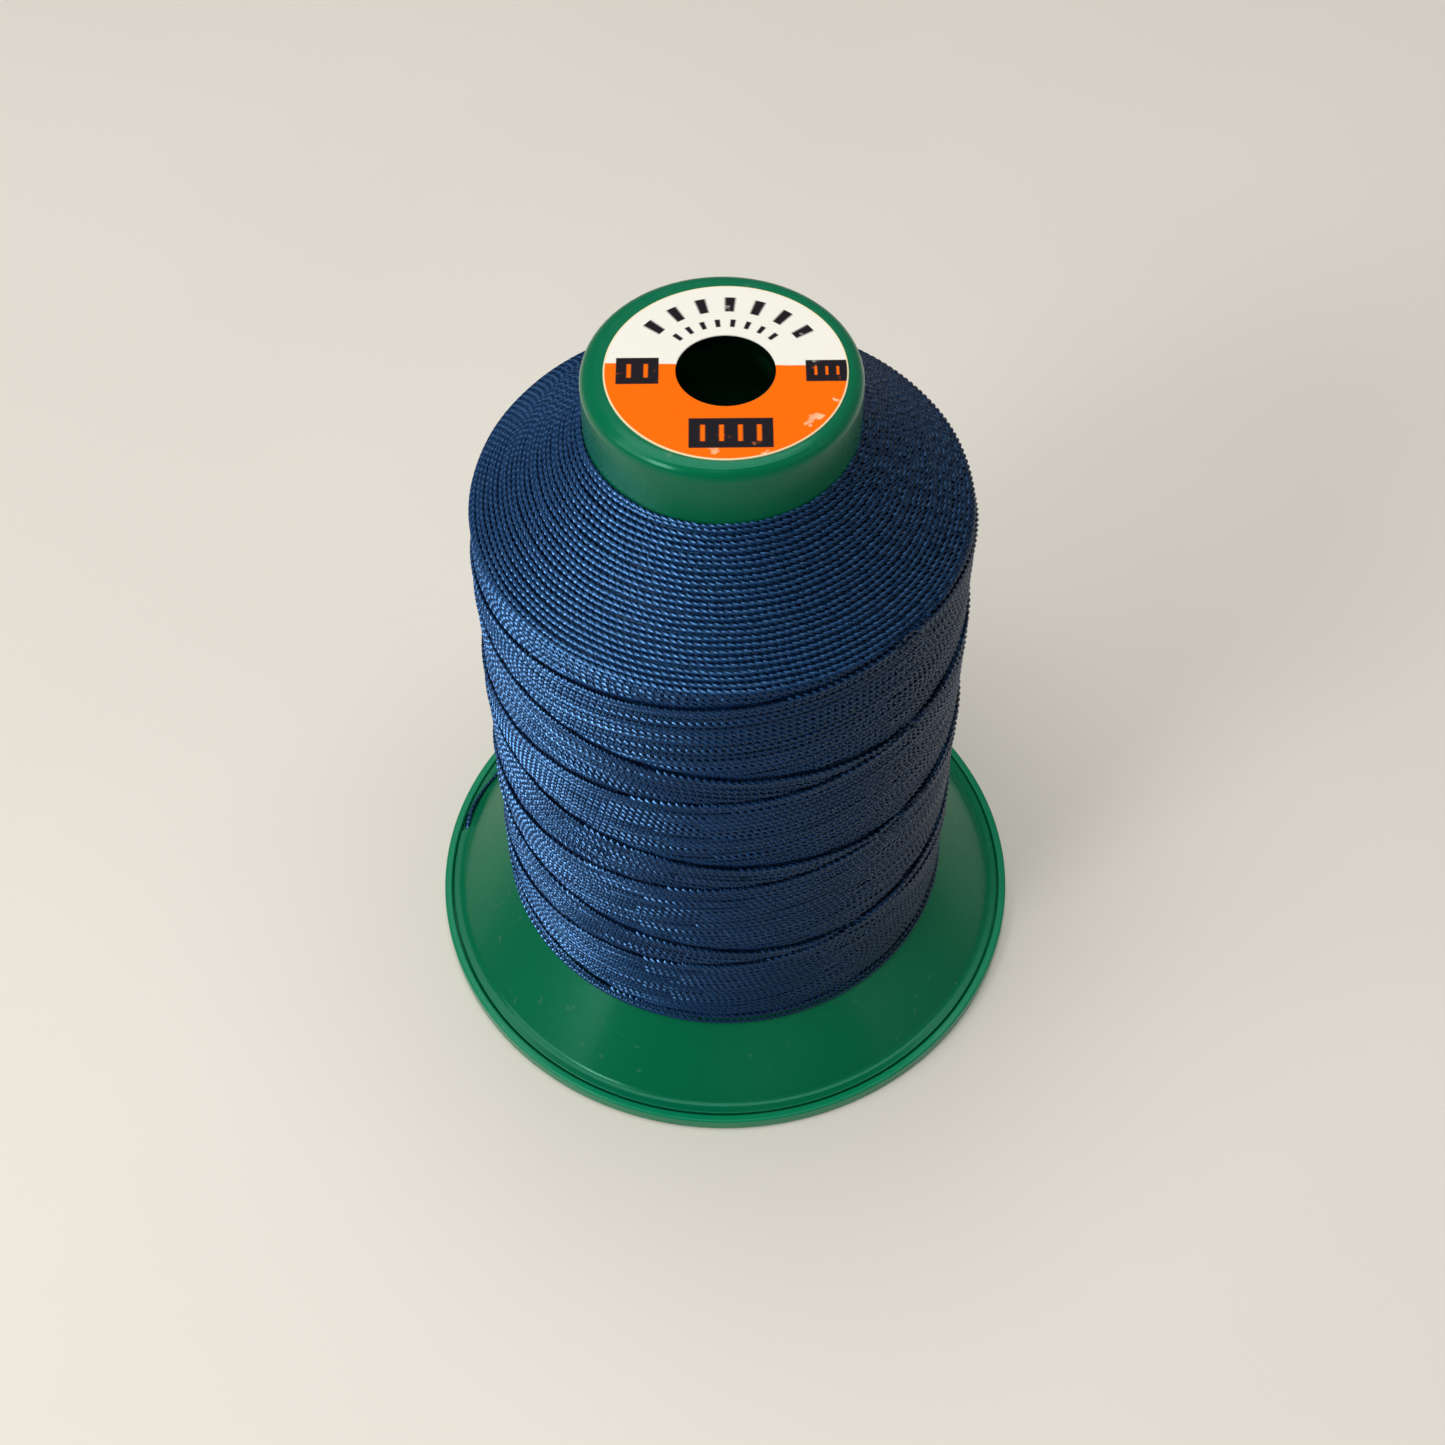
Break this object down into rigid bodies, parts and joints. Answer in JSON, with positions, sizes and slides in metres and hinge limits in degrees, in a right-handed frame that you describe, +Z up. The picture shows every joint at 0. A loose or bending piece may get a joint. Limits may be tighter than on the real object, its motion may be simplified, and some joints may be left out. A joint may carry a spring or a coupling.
{
  "type": "spool of thread",
  "caption": "King spool of multi-ply sewing thread: flanged tube with a top collar, a pull-out base cap and a tapered wound package.",
  "frame": {"origin": "centre of the base cap, on the surface that the spool stands on", "axes": "+Z up the tube; the camera of the reference view looks along +Y, with +X to its right"},
  "size_m": [0.075, 0.075, 0.0941],
  "materials": {
    "green_plastic": "moulded gloss",
    "thread": "bright twisted filament",
    "label_paper": "satin printed paper"
  },
  "bodies": {
    "base": {"base_cap": "green_plastic"},
    "spool": {"spool_body": "green_plastic", "thread_package": "thread", "thread_tail": "thread", "top_label": "label_paper"}
  },
  "joints": [
    {"name": "cap_pull", "type": "slide", "parent": "base", "child": "spool", "axis": [0, 0, 1], "range_m": [0, 0.003]}
  ]
}
